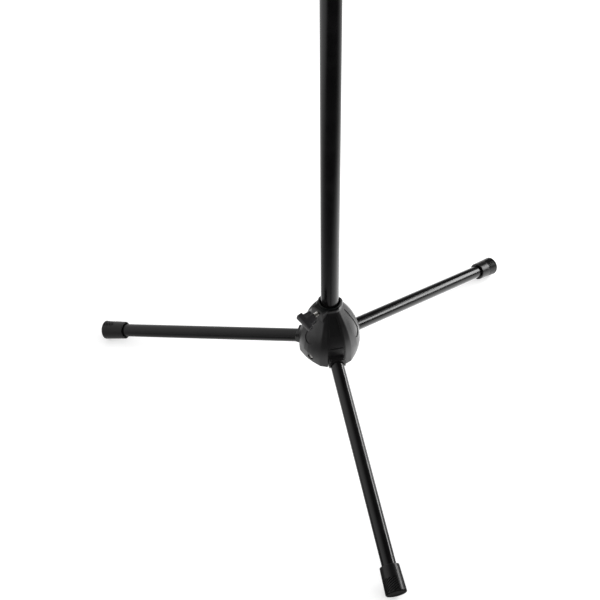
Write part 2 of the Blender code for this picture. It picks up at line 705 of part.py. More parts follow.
def make_leg(hub, name, azimuth):
    """One folding leg: bracket, tube and foot, turning together on a pin in the carrier."""
    pivot = leg_axis(hub, "leg_" + name, azimuth)
    flat = (math.radians(90.0), 0.0, 0.0)
    along = (0.0, math.radians(90.0) + LEG_DROP, 0.0)

    bracket = slab("leg_bracket_" + name, bracket_outline(), -BRACKET_HALF, BRACKET_HALF,
                   parent=pivot, rotation=flat)
    shoulder_cutters(bracket, pivot, name)
    socket = rod("socket_" + name, LEG_R + RUNNING_GAP, -LEG_HEEL - GAP, COLLAR_MOUTH * 2, LEG_SIDES,
                 parent=pivot, rotation=along)
    combine(bracket, socket, "DIFFERENCE")
    hole = rod("bracket_hole_" + name, PIN_R + PIN_GAP, -2 * BRACKET_HALF, 2 * BRACKET_HALF, SMALL_SIDES,
               parent=pivot, rotation=flat)
    combine(bracket, hole, "DIFFERENCE")
    coat(smooth_shade(bracket), BLACK_NYLON)

    tube = ring("leg_tube_" + name, LEG_R, LEG_R - LEG_WALL, -LEG_HEEL, LEG_REACH - FOOT_END_WALL - GAP,
                LEG_SIDES, parent=pivot, rotation=along)
    cross = rod("tube_hole_" + name, PIN_R + PIN_GAP, -2 * LEG_R, 2 * LEG_R, SMALL_SIDES,
                parent=pivot, rotation=flat)
    combine(tube, cross, "DIFFERENCE")
    coat(smooth_shade(tube), BLACK_PAINT)

    reach = SLOT_HALF + EAR_THICK
    pin = rod("pivot_pin_" + name, PIN_R, -reach, reach, SMALL_SIDES, parent=pivot, rotation=flat)
    coat(smooth_shade(pin), DARK_STEEL)
    make_foot(pivot, name, along)


def shoulder_cutters(bracket, pivot, name):
    """Round the collar's two upper shoulders and frame the head's face with a groove."""
    turn = (0.0, math.radians(90.0), 0.0)
    start = hub_radius(COLLAR_TOP) * LEG_FACE - PIVOT_R - BRACKET_FACE_INSET
    for side in (-1.0, 1.0):
        centre = (-(COLLAR_MOUTH_TOP - COLLAR_SHOULDER), side * (BRACKET_HALF - COLLAR_SHOULDER))
        corner = (-COLLAR_MOUTH_TOP - GAP * 3, side * (BRACKET_HALF + GAP * 3))
        rounding = arc(centre, COLLAR_SHOULDER, 180.0, 180.0 - side * 90.0, 6)
        outline = [(corner[0], centre[1])] + rounding + [(centre[0], corner[1]), corner]
        cutter = slab("shoulder_%s_%d" % (name, side), outline, start + BRACKET_FACE_INSET,
                      COLLAR_MOUTH + CUT_MARGIN, parent=pivot, rotation=turn)
        combine(bracket, cutter, "DIFFERENCE")

    low = COLLAR_TOP + FRAME_MARGIN
    high = SLOT_TOP - GAP - FRAME_MARGIN
    inner_half = FRAME_HALF - FRAME_WIDTH
    groove = box("frame_" + name, (start - FRAME_DEPTH, -FRAME_HALF, low),
                 (start + CUT_MARGIN, FRAME_HALF, high), parent=pivot)
    island = box("island_" + name, (start - 2 * FRAME_DEPTH, -inner_half, low + FRAME_WIDTH),
                 (start + 2 * CUT_MARGIN, inner_half, high - FRAME_WIDTH), parent=pivot)
    combine(groove, island, "DIFFERENCE")
    combine(bracket, groove, "DIFFERENCE")


def make_foot(pivot, name, along):
    """A rubber cap on the leg's end: open mouth round the tube, and a flat where it stands."""
    rim = LEG_REACH - FOOT_LENGTH
    bore = LEG_R + RUNNING_GAP
    inner_end = LEG_REACH - FOOT_END_WALL
    taper = (FOOT_R_END - FOOT_R_RIM) / FOOT_LENGTH
    edge = arc((FOOT_R_END - FOOT_EDGE, LEG_REACH - FOOT_EDGE), FOOT_EDGE, 90.0, 0.0, 5)
    profile = [(0.0, LEG_REACH)] + edge
    profile += [(FOOT_R_RIM + taper * FOOT_LIP, rim + FOOT_LIP), (FOOT_R_RIM - FOOT_LIP, rim),
                (FOOT_MOUTH_R, rim), (FOOT_MOUTH_R, rim + FOOT_MOUTH_DEPTH),
                (bore, rim + FOOT_MOUTH_DEPTH), (bore, inner_end), (0.0, inner_end)]
    foot = turned("foot_" + name, profile, LEG_SIDES, parent=pivot, rotation=along)
    combine(foot, bpy.data.objects["floor"], "DIFFERENCE")
    coat(smooth_shade(foot), BLACK_RUBBER)


def make_clamp(hub):
    """The clamp: a pad on the mast, a threaded screw in a trapped nut, and a wing knob."""
    axis = radial_axis(hub, "clamp_axis", CLAMP_AZIMUTH, CLAMP_Z)
    pad_face = MAST_R + GAP
    pad = rod("clamp_pad", PAD_OD / 2, pad_face, pad_face + PAD_THICK, SMALL_SIDES, parent=axis)
    coat(smooth_shade(pad), BLACK_NYLON)

    nut_low = LUG_FACE - LUG_WALL - GAP - NUT_THICK
    half = NUT_WIDTH / 2
    nut = box("clamp_nut", (-half, -half, nut_low), (half, half, nut_low + NUT_THICK), parent=axis)
    bevel(nut, NUT_EDGE, 1)
    thread = rod("nut_bore", CLAMP_SCREW_OD / 2 + GAP, 0.0, LUG_FACE + CUT_MARGIN, SMALL_SIDES, parent=axis)
    combine(nut, thread, "DIFFERENCE")
    coat(nut, ZINC_PLATE)

    tip = pad_face + PAD_THICK + GAP
    radius = CLAMP_SCREW_OD / 2
    end = tip + CLAMP_SCREW_LENGTH
    screw = turned("clamp_screw", [(0.0, end), (radius, end), (radius, tip + GAP), (radius - GAP, tip),
                                   (0.0, tip)], SMALL_SIDES, parent=axis)
    coat(smooth_shade(screw), ZINC_PLATE)
    make_knob(axis, radius, end)


def make_knob(axis, screw_radius, screw_end):
    """The wing knob: a round boss, a flat web and a thick cross bar, moulded as one."""
    tilt = empty("knob_tilt", axis, rotation=(0.0, 0.0, KNOB_TILT))
    bar_low = KNOB_END - KNOB_BAR_DEPTH
    boss_end = KNOB_START + KNOB_BOSS_LENGTH
    profile = [(0.0, boss_end), (KNOB_BOSS_R - KNOB_EDGE, boss_end), (KNOB_BOSS_R, KNOB_START + KNOB_EDGE),
               (KNOB_BOSS_R - KNOB_EDGE, KNOB_START), (0.0, KNOB_START)]
    knob = turned("clamp_knob", profile, SMALL_SIDES, parent=tilt)
    web_low = KNOB_START + KNOB_EDGE / 2
    web_high = bar_low + 2 * KNOB_EDGE
    web = slab("knob_web", [(web_low, -KNOB_WEB_START), (web_high, -KNOB_WEB_END),
                            (web_high, KNOB_WEB_END), (web_low, KNOB_WEB_START)],
               -KNOB_WEB_THICK / 2, KNOB_WEB_THICK / 2, parent=tilt,
               rotation=(0.0, math.radians(-90.0), math.radians(180.0)))
    combine(knob, bevel(web, KNOB_EDGE), "UNION")
    bar = box("knob_bar", (-KNOB_BAR_THICK / 2, -KNOB_BAR_HALF, bar_low),
              (KNOB_BAR_THICK / 2, KNOB_BAR_HALF, KNOB_END), parent=tilt)
    combine(knob, bevel(bar, KNOB_EDGE * 1.6, 3), "UNION")
    bore = rod("knob_bore", screw_radius + RUNNING_GAP, KNOB_START - CUT_MARGIN, screw_end + GAP,
               SMALL_SIDES, parent=axis)
    combine(knob, bore, "DIFFERENCE")
    coat(smooth_shade(knob), BLACK_NYLON)


def make_mast(stand, hub):
    """The mast tube and the cone plug that closes its lower end above the legs' heels."""
    cone_gap = BRACKET_HEEL_R + GAP
    cone = cone_gap * math.sqrt(2.0) - PIVOT_R
    flange_low = PLUG_FLANGE_R + cone
    bottom = PLUG_BOTTOM_R + cone
    flange_high = flange_low + PLUG_FLANGE_THICK
    spigot_r = MAST_BORE_R - GAP
    inner = spigot_r - PLUG_WALL
    spigot_top = PLUG_NECK_HEIGHT + PLUG_SPIGOT
    profile = [(0.0, bottom + PLUG_WALL), (inner, bottom + PLUG_WALL + inner / 2), (inner, spigot_top),
               (spigot_r, spigot_top), (spigot_r, PLUG_NECK_HEIGHT), (PLUG_SHOULDER_R, PLUG_NECK_HEIGHT),
               (PLUG_FLANGE_R, flange_high), (PLUG_FLANGE_R, flange_low), (PLUG_BOTTOM_R, bottom),
               (0.0, bottom)]
    plug = turned("mast_plug", profile, INNER_SIDES, parent=hub)
    coat(smooth_shade(plug), BLACK_NYLON)

    mast_low = PIVOT_Z + PLUG_NECK_HEIGHT + GAP
    mast = ring("mast_tube", MAST_R, MAST_BORE_R, mast_low, MAST_TOP, MAST_SIDES, parent=stand)
    coat(smooth_shade(mast), BLACK_PAINT)


def make_clutch(stand):
    """The twist clutch: a base on the mast, a split collet round the rod and a fluted grip."""
    clutch = empty("clutch_axis", stand, (0.0, 0.0, MAST_TOP))
    base_r = CLUTCH_BASE_OD / 2
    neck_r = CLUTCH_NECK_OD / 2
    seat_r = MAST_R + RUNNING_GAP
    collet_bore = ROD_R + RUNNING_GAP
    collet_r = collet_bore + COLLET_WALL
    profile = [(neck_r, CLUTCH_NECK_HEIGHT), (neck_r, CLUTCH_STEP), (base_r - CLUTCH_EDGE, CLUTCH_STEP),
               (base_r, CLUTCH_STEP - CLUTCH_EDGE), (base_r, CLUTCH_EDGE - CLUTCH_SKIRT),
               (base_r - CLUTCH_EDGE, -CLUTCH_SKIRT), (seat_r, -CLUTCH_SKIRT), (seat_r, GAP),
               (collet_r + GAP, GAP), (collet_r + GAP, CLUTCH_NECK_HEIGHT)]
    base = turned("clutch_base", profile, MAST_SIDES, closed=True, parent=clutch)
    coat(smooth_shade(base), BLACK_NYLON)

    flange_low = CLUTCH_NECK_HEIGHT + GAP
    flange_high = flange_low + COLLET_FLANGE_THICK
    flange_r = COLLET_FLANGE_OD / 2
    profile = [(flange_r, flange_high), (flange_r, flange_low), (collet_r, flange_low), (collet_r, 2 * GAP),
               (collet_bore, 2 * GAP), (collet_bore, flange_high)]
    collet = turned("clutch_collet", profile, INNER_SIDES, closed=True, parent=clutch)
    slit = box("collet_slit", (0.0, -COLLET_SLIT / 2, -CUT_MARGIN),
               (base_r, COLLET_SLIT / 2, flange_high + CUT_MARGIN), parent=clutch)
    combine(collet, slit, "DIFFERENCE")
    coat(smooth_shade(collet), BLACK_NYLON)
    make_grip(clutch, neck_r, flange_high + GAP)


def make_grip(clutch, neck_r, roof):
    """The fluted grip that is twisted to lock the rod."""
    outline = []
    steps = GRIP_FLUTES * GRIP_FLUTE_STEPS
    for k in range(steps):
        angle = 2 * math.pi * k / steps
        flute = max(0.0, math.cos(angle * GRIP_FLUTES)) * GRIP_FLUTE_DEPTH
        reach = GRIP_OD / 2 - flute
        outline.append((reach * math.cos(angle), reach * math.sin(angle)))
    grip = slab("clutch_grip", outline, CLUTCH_STEP + GAP, roof + GRIP_ROOF, parent=clutch)
    bevel(grip, GRIP_EDGE, 1, GRIP_EDGE_ANGLE)
    chamber = rod("grip_chamber", neck_r + GAP, 0.0, roof, INNER_SIDES, parent=clutch)
    combine(grip, chamber, "DIFFERENCE")
    mouth = rod("grip_mouth", ROD_R + RUNNING_GAP, 0.0, roof + GRIP_ROOF + CUT_MARGIN, INNER_SIDES,
                parent=clutch)
    combine(grip, mouth, "DIFFERENCE")
    coat(smooth_shade(grip), BLACK_RUBBER)


def make_rod(stand):
    """The height rod with its guide at the bottom and its threaded stud at the top."""
    tube = ring("inner_rod", ROD_R, ROD_BORE_R, ROD_BOTTOM, ROD_TOP, INNER_SIDES, parent=stand)
    coat(smooth_shade(tube), BLACK_PAINT)

    spigot_r = ROD_BORE_R - GAP
    guide_r = MAST_BORE_R - GAP
    low = ROD_BOTTOM - GAP
    profile = [(0.0, low + GUIDE_SPIGOT), (spigot_r - GUIDE_EDGE, low + GUIDE_SPIGOT),
               (spigot_r, low + GUIDE_SPIGOT - GUIDE_EDGE), (spigot_r, low), (guide_r, low),
               (guide_r, low - GUIDE_LENGTH + GUIDE_EDGE), (guide_r - GUIDE_EDGE, low - GUIDE_LENGTH),
               (0.0, low - GUIDE_LENGTH)]
    guide = turned("rod_guide", profile, INNER_SIDES, parent=stand)
    coat(smooth_shade(guide), BLACK_NYLON)

    seat = ROD_TOP + GAP
    flange = seat + STUD_FLANGE_HEIGHT
    top = flange + STUD_LENGTH
    thread_r = STUD_OD / 2
    profile = [(0.0, top), (thread_r - STUD_CHAMFER, top), (thread_r, top - STUD_CHAMFER),
               (thread_r, flange), (STUD_FLANGE_OD / 2, flange), (STUD_FLANGE_OD / 2, seat),
               (spigot_r, seat), (spigot_r, seat - STUD_SPIGOT_LENGTH), (0.0, seat - STUD_SPIGOT_LENGTH)]
    stud = turned("thread_stud", profile, INNER_SIDES, parent=stand)
    coat(smooth_shade(stud), ZINC_PLATE)


def build():
    """Build the whole stand round the mast's axis."""
    stand = empty("mast_axis", None, (0.0, MAST_Y, 0.0))
    hub = empty("hub_level", stand, (0.0, 0.0, PIVOT_Z))
    reach = FOOT_TIP_R + CUT_MARGIN
    as_tool(box("floor", (-reach, -reach, -CUT_MARGIN), (reach, reach, 0.0), parent=stand))
    make_shell(hub)
    make_shell_screws(hub)
    make_sleeve(hub)
    make_carrier(hub)
    for name, azimuth in LEG_AZIMUTHS.items():
        make_leg(hub, name, azimuth)
    make_clamp(hub)
    make_mast(stand, hub)
    make_clutch(stand)
    make_rod(stand)


build()
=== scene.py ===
"""Finishes of a straight microphone stand: black tubes, a moulded hub, rubber feet, zinc threads.

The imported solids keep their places. This file gives them their finishes, replaces the feet, the
clamp screw and the microphone thread with finer meshes, and sets the floor, the light and the
camera. Units are metres and +Z is up.
"""
import json
import math

import bmesh
import bpy
from bpy.props import FloatProperty, FloatVectorProperty, PointerProperty
from bpy.types import Operator, Panel, PropertyGroup
from mathutils import Matrix, Vector

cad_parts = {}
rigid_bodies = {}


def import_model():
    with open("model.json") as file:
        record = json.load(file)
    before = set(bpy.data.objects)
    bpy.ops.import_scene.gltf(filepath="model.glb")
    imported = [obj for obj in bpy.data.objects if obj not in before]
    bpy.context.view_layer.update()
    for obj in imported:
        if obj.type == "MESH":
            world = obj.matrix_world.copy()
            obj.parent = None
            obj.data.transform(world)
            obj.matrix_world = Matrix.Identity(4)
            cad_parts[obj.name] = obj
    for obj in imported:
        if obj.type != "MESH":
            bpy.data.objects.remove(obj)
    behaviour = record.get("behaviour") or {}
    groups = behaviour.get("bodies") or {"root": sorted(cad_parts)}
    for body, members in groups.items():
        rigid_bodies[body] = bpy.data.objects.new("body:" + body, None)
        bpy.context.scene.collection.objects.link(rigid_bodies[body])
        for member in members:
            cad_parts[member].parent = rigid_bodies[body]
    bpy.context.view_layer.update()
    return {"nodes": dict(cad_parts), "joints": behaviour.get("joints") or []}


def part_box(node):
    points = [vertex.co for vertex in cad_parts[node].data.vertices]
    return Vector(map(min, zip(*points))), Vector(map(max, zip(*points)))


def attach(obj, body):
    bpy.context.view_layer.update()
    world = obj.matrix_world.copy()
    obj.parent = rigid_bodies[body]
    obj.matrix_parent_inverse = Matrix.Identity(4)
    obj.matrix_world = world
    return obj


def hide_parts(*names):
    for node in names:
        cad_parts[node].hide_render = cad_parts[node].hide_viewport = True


bl_info = {
    "name": "Straight Microphone Stand",
    "version": (1, 0, 0),
    "blender": (4, 5, 0),
    "location": "3D View > Sidebar > Stand",
    "description": "Dresses the packed microphone stand in its real finishes",
    "category": "Object",
}

for left_over in list(bpy.data.objects):
    bpy.data.objects.remove(left_over, do_unlink=True)
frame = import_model()
NODES = frame["nodes"]
JOINTS = {joint["name"]: joint for joint in frame["joints"]}

# Each leg's heading in degrees, turned from +X toward +Y.
LEGS = {"front": 270.0, "right": 30.0, "left": 150.0}

# An edge that bends by more than this many degrees stays sharp when its piece is shaded round.
SHARP_SOLID = 24.0
SHARP_HUB = 8.5  # the hub's facets meet at shallow angles
SHARP_SKIN = 38.0
SAME_POINT = 0.00001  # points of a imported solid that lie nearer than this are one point
NEAR_UPRIGHT = 0.99  # an axis that rises more than this needs another side to call up

# How finely the new pieces are meshed.
FOOT_COLUMNS = 200  # points round a foot
FOOT_STEPS = 84  # steps along a foot's side
EDGE_STEPS = 6  # steps round the edge of a foot's closed end
LIP_STEPS = 4  # steps round the lip of its mouth
FOOT_MIDDLE = 0.0004  # radius of the small flat in the middle of its closed end
CLAMP_SIDES = 40  # points round the clamp screw
STUD_SIDES = 56  # points round the microphone thread
THREAD_STEPS = 8  # rings in one turn of a thread

# The dish in a foot's closed end: a share of the foot's radius, and of the dish's depth there.
DISH = ((0.55, 1.0), (0.60, 0.4), (0.66, 0.0))
TREAD_STEEPNESS = 1.4  # above 1 the diamonds have flat tops
# A cut thread: its depth as a share of its pitch, and how far its flanks run past the flats that
# cut off its crest and its root.
THREAD_DEPTH = 0.58
THREAD_CREST = 1.25
THREAD_ROOT = 0.08

# A Mix node's sockets share their names, so they go by number.
FACTOR, COLOUR_A, COLOUR_B, MIXED_COLOUR = 0, 6, 7, 2
NUMBER_A, NUMBER_B, MIXED_NUMBER = 2, 3, 0


def linear(hex_colour):
    """Turn an sRGB hex colour into the linear colour that a shader takes."""
    channels = []
    for k in (1, 3, 5):
        value = int(hex_colour[k:k + 2], 16) / 255.0
        channels.append(value / 12.92 if value <= 0.04045 else ((value + 0.055) / 1.055) ** 2.4)
    return (*channels, 1.0)


WHITE = linear("#ffffff")


def length(name, description, default_mm):
    """A size that a user can change, with its default in millimetres."""
    return FloatProperty(name=name, description=description, default=default_mm / 1000.0, min=0.0,
                         unit="LENGTH", subtype="DISTANCE", precision=5)


def turn(name, description, default):
    """An angle that a user can change, with its default in degrees."""
    return FloatProperty(name=name, description=description, default=math.radians(default),
                         unit="ROTATION", subtype="ANGLE")


def colour(name, description, default):
    """A colour that a user can change, with its default as sRGB hex."""
    return FloatVectorProperty(name=name, description=description, default=linear(default),
                               size=4, min=0.0, max=1.0, subtype="COLOR")


class StandSizes(PropertyGroup):
    """Sizes of the pieces that are made here."""

    leg_drop: turn("Leg drop", "How far the legs slope down from level", 15.11)
    foot_r_end: length("Foot radius at its end",
                       "Radius of a rubber foot where it meets the floor", 13.27)
    foot_r_rim: length("Foot radius at its rim",
                       "Radius of a rubber foot where the tube goes in", 12.2)
    foot_edge: length("Foot edge", "Rounding of a foot's closed end", 1.5)
    foot_lip: length("Foot lip", "Rounding of a foot's rim", 0.6)
    foot_mouth: length("Foot mouth", "Radius of the open mouth round the tube", 10.7)
    foot_mouth_depth: length("Mouth depth", "Depth of the open mouth round the tube", 2.5)
    foot_bore: length("Foot bore", "Radius of the hole that grips the tube", 9.25)
    foot_end_wall: length("Foot end wall", "Rubber between the bore and the closed end", 6.0)
    foot_dish: length("Foot dish", "Depth of the shallow dish in a foot's end", 0.4)
    tread_pitch: length("Tread pitch", "Width of one diamond of the moulded tread", 6.0)
    tread_rise: length("Tread rise", "Height of one diamond along the foot", 2.8)
    tread_depth: length("Tread depth", "Depth of the grooves between the diamonds", 1.0)
    tread_cross: FloatProperty(
        name="Tread cross", description="Share of that depth that the second set of grooves has",
        default=0.3, min=0.0, max=1.0, subtype="FACTOR")
    tread_start: length("Tread start", "Where the tread begins, from the foot's rim", 15.8)
    tread_end: length("Tread end", "Where the tread stops, from the foot's rim", 32.4)
    tread_from: turn("Tread from", "One side of the tread, turned from the foot's top", -172.0)
    tread_to: turn("Tread to", "The other side of the tread, turned from the foot's top", 17.0)
    clamp_pitch: length("Clamp thread pitch", "Pitch of the clamp screw's thread", 1.0)
    stud_pitch: length("Stud thread pitch",
                       "Pitch of the microphone thread, 27 to the inch", 0.941)
    stud_thread: length("Stud thread length",
                        "Length of the microphone thread above its shoulder", 22.5)
    stud_shoulder: length("Stud shoulder", "Height of the stud's round shoulder", 3.0)
    edge_round: length("Edge rounding",
                       "Radius that a moulded or pressed edge catches the light with", 0.35)


class StandColours(PropertyGroup):
    """Colours of the finishes."""

    enamel: colour("Enamel", "Baked enamel on the tubes", "#0b0a0b")
    enamel_dust: colour("Dust on enamel", "Thin film that dulls the enamel in places", "#161516")
    nylon: colour("Nylon", "Moulded nylon of the hub, the brackets and the clutch", "#121112")
    # The wing knob's nylon is a lighter grey than the hub's.
    nylon_knob: colour("Knob nylon", "Lighter grey nylon of the wing knob", "#232224")
    # Painted highlight: a paler nylon laid along the edges where light would catch them.
    nylon_edge_highlight: colour("Nylon edge highlight", "Paler nylon painted along the edges as a highlight", "#2c2c2d")
    acetal: colour("Acetal", "Moulded acetal of the sleeve, the pad and the collet", "#0c0f0f")
    rubber: colour("Rubber", "Moulded rubber of the feet and the grip", "#0f0e0f")
    rubber_dust: colour("Dust on rubber", "Floor dust that rubber picks up", "#242322")
    zinc: colour("Zinc", "Bright zinc plate on the screws, the nut and the stud", "#ecebe7")
    zinc_stain: colour("Zinc stain", "Faint straw-coloured stain in the zinc", "#d0ccc0")
    phosphate: colour("Phosphated steel", "Dark steel inside the hub", "#3a3b3d")
    floor: colour("Floor", "Studio floor", "#f4f4f4")


def fill(tree, item, inputs):
    """Set a node's inputs: a socket is linked and anything else is a value."""
    for key, value in inputs.items():
        if isinstance(value, bpy.types.NodeSocket):
            tree.links.new(value, item.inputs[key])
        else:
            item.inputs[key].default_value = value


def add_node(tree, kind, inputs=None, **settings):
    """Add a node with its settings, values and links."""
    item = tree.nodes.new(kind)
    for name, value in settings.items():
        setattr(item, name, value)
    fill(tree, item, inputs or {})
    return item


def start_material(name):
    """Nodes of a new material, its shader, and the place on its piece that its patterns follow."""
    finish = bpy.data.materials.new(name)
    finish.use_nodes = True
    tree = finish.node_tree
    tree.nodes.clear()
    shader = add_node(tree, "ShaderNodeBsdfPrincipled")
    add_node(tree, "ShaderNodeOutputMaterial", {"Surface": shader.outputs["BSDF"]})
    where = add_node(tree, "ShaderNodeTexCoord").outputs["Object"]
    return tree, shader, where


def per_metre(size_mm):
    """Scale of a pattern whose features are that many millimetres apart."""
    return 1000.0 / size_mm


def baked_enamel(colours):
    """Baked enamel on drawn steel tube: a deep black, a satin gloss and a faint orange peel."""
    tree, shader, where = start_material("baked_black_enamel")
    # The film pulls into soft dimples about 1.4 mm apart as it bakes. They break its reflections.
    peel = add_node(tree, "ShaderNodeTexNoise", {
        "Vector": where, "Scale": per_metre(1.4), "Detail": 2.0})
    # Fine dust and handling dull the gloss in patches a few centimetres across.
    film = add_node(tree, "ShaderNodeTexNoise", {
        "Vector": where, "Scale": per_metre(38.0), "Detail": 5.0, "Roughness": 0.62})
    # Specks of dust under the film are 0.2 mm across. They are drawn at 0.6 mm, in cells of
    # 3.2 mm, so that the picture can show them.
    specks = add_node(tree, "ShaderNodeTexVoronoi", {"Vector": where, "Scale": per_metre(3.2)})
    speck = add_node(tree, "ShaderNodeMapRange", {
        "Value": specks.outputs["Distance"], "From Min": 0.10, "From Max": 0.04,
        "To Min": 0.0, "To Max": 0.35})
    haze = add_node(tree, "ShaderNodeMapRange", {
        "Value": film.outputs["Fac"], "From Min": 0.45, "From Max": 0.75,
        "To Min": 0.0, "To Max": 0.8})
    cover = add_node(tree, "ShaderNodeMath", {
        0: haze.outputs["Result"], 1: speck.outputs["Result"]}, operation="MAXIMUM")
    tint = add_node(tree, "ShaderNodeMix", {
        FACTOR: cover.outputs["Value"], COLOUR_A: colours.enamel,
        COLOUR_B: colours.enamel_dust}, data_type="RGBA")
    gloss = add_node(tree, "ShaderNodeMapRange", {
        "Value": film.outputs["Fac"], "From Min": 0.3, "From Max": 0.75,
        "To Min": 0.17, "To Max": 0.27})
    bump = add_node(tree, "ShaderNodeBump", {
        "Height": peel.outputs["Fac"], "Strength": 0.05, "Distance": 0.0003})
    fill(tree, shader, {
        "Base Color": tint.outputs[MIXED_COLOUR], "Roughness": gloss.outputs["Result"],
        "Normal": bump.outputs["Normal"], "IOR": 1.5, "Specular IOR Level": 0.40})


def moulded_nylon(name, base, colours, sizes):
    """Glass-filled nylon from a spark-eroded mould: satin grain, painted highlight on its edges.
    """
    tree, shader, where = start_material(name)
    # The mould's grain is 0.25 mm, drawn at 0.5 mm so that it shows at the picture's size.
    grain = add_node(tree, "ShaderNodeTexNoise", {
        "Vector": where, "Scale": per_metre(0.5), "Detail": 3.0, "Roughness": 0.6})
    # Glass fibres flow with the melt and leave faint cloudy bands 20 mm apart.
    flow = add_node(tree, "ShaderNodeTexNoise", {
        "Vector": where, "Scale": per_metre(20.0), "Detail": 4.0, "Distortion": 0.8})
    # The edges are rounded a little, and a painted highlight makes them paler wherever that
    # rounding turns the surface.
    soft = add_node(tree, "ShaderNodeBevel", {"Radius": sizes.edge_round}, samples=6)
    flat = add_node(tree, "ShaderNodeNewGeometry")
    facing = add_node(tree, "ShaderNodeVectorMath", {
        0: soft.outputs["Normal"], 1: flat.outputs["Normal"]}, operation="DOT_PRODUCT")
    edge_highlight = add_node(tree, "ShaderNodeMapRange", {
        "Value": facing.outputs["Value"], "From Min": 0.99, "From Max": 0.88,
        "To Min": 0.0, "To Max": 0.7})
    tint = add_node(tree, "ShaderNodeMix", {
        FACTOR: edge_highlight.outputs["Result"], COLOUR_A: base,
        COLOUR_B: colours.nylon_edge_highlight}, data_type="RGBA")
    gloss = add_node(tree, "ShaderNodeMapRange", {
        "Value": flow.outputs["Fac"], "From Min": 0.3, "From Max": 0.7,
        "To Min": 0.31, "To Max": 0.41})
    bump = add_node(tree, "ShaderNodeBump", {
        "Height": grain.outputs["Fac"], "Strength": 0.12, "Distance": 0.0002,
        "Normal": soft.outputs["Normal"]})
    fill(tree, shader, {
        "Base Color": tint.outputs[MIXED_COLOUR], "Roughness": gloss.outputs["Result"],
        "Normal": bump.outputs["Normal"], "IOR": 1.53, "Specular IOR Level": 0.7})


def moulded_acetal(colours, sizes):
    """Moulded acetal: slippery, smoother than the nylon and faintly green in its black."""
    tree, shader, where = start_material("moulded_black_acetal")
    # What slides on it polishes streaks about 2 mm wide.
    streak = add_node(tree, "ShaderNodeTexNoise", {
        "Vector": where, "Scale": per_metre(2.0), "Detail": 3.0})
    soft = add_node(tree, "ShaderNodeBevel", {"Radius": sizes.edge_round}, samples=6)
    gloss = add_node(tree, "ShaderNodeMapRange", {
        "Value": streak.outputs["Fac"], "From Min": 0.3, "From Max": 0.7,
        "To Min": 0.30, "To Max": 0.44})
    bump = add_node(tree, "ShaderNodeBump", {
        "Height": streak.outputs["Fac"], "Strength": 0.06, "Distance": 0.0001,
        "Normal": soft.outputs["Normal"]})
    fill(tree, shader, {
        "Base Color": colours.acetal, "Roughness": gloss.outputs["Result"],
        "Normal": bump.outputs["Normal"], "IOR": 1.48, "Specular IOR Level": 0.35})


def moulded_rubber(colours, sizes):
    """Soft moulded rubber: a satin skin with a fine grain and a little pale floor dust."""
    tree, shader, where = start_material("satin_moulded_rubber")
    # The skin's grain is 0.3 mm, drawn at 0.6 mm so that it shows.
    grain = add_node(tree, "ShaderNodeTexNoise", {
        "Vector": where, "Scale": per_metre(0.6), "Detail": 4.0, "Roughness": 0.65})
    # Dust lies in patches 9 mm across.
    dust = add_node(tree, "ShaderNodeTexNoise", {
        "Vector": where, "Scale": per_metre(9.0), "Detail": 6.0, "Roughness": 0.7})
    caught = add_node(tree, "ShaderNodeMapRange", {
        "Value": dust.outputs["Fac"], "From Min": 0.48, "From Max": 0.80,
        "To Min": 0.0, "To Max": 0.40})
    tint = add_node(tree, "ShaderNodeMix", {
        FACTOR: caught.outputs["Result"], COLOUR_A: colours.rubber,
        COLOUR_B: colours.rubber_dust}, data_type="RGBA")
    soft = add_node(tree, "ShaderNodeBevel", {"Radius": sizes.edge_round}, samples=4)
    gloss = add_node(tree, "ShaderNodeMapRange", {
        "Value": grain.outputs["Fac"], "From Min": 0.3, "From Max": 0.7,
        "To Min": 0.27, "To Max": 0.38})
    bump = add_node(tree, "ShaderNodeBump", {
        "Height": grain.outputs["Fac"], "Strength": 0.10, "Distance": 0.0002,
        "Normal": soft.outputs["Normal"]})
    fill(tree, shader, {
        "Base Color": tint.outputs[MIXED_COLOUR], "Roughness": gloss.outputs["Result"],
        "Normal": bump.outputs["Normal"], "IOR": 1.52, "Specular IOR Level": 0.37})


def zinc_plate(colours, sizes):
    """Bright zinc plate on turned steel: clean silver with a faint stain and fine tool marks."""
    tree, shader, where = start_material("bright_zinc_plated_steel")
    # Passivation stains the plate in clouds about 4 mm across.
    cloud = add_node(tree, "ShaderNodeTexNoise", {
        "Vector": where, "Scale": per_metre(4.0), "Detail": 4.0})
    # Tool marks are 0.05 mm apart, drawn at 0.3 mm so that they show.
    marks = add_node(tree, "ShaderNodeTexNoise", {
        "Vector": where, "Scale": per_metre(0.3), "Detail": 2.0})
    stain = add_node(tree, "ShaderNodeMapRange", {
        "Value": cloud.outputs["Fac"], "From Min": 0.45, "From Max": 0.75,
        "To Min": 0.0, "To Max": 0.7})
    tint = add_node(tree, "ShaderNodeMix", {
        FACTOR: stain.outputs["Result"], COLOUR_A: colours.zinc,
        COLOUR_B: colours.zinc_stain}, data_type="RGBA")
    soft = add_node(tree, "ShaderNodeBevel", {"Radius": sizes.edge_round / 2}, samples=4)
    gloss = add_node(tree, "ShaderNodeMapRange", {
        "Value": marks.outputs["Fac"], "From Min": 0.3, "From Max": 0.7,
        "To Min": 0.28, "To Max": 0.44})
    bump = add_node(tree, "ShaderNodeBump", {
        "Height": marks.outputs["Fac"], "Strength": 0.08, "Distance": 0.0001,
        "Normal": soft.outputs["Normal"]})
    fill(tree, shader, {
        "Base Color": tint.outputs[MIXED_COLOUR], "Roughness": gloss.outputs["Result"],
        "Normal": bump.outputs["Normal"], "Metallic": 1.0})


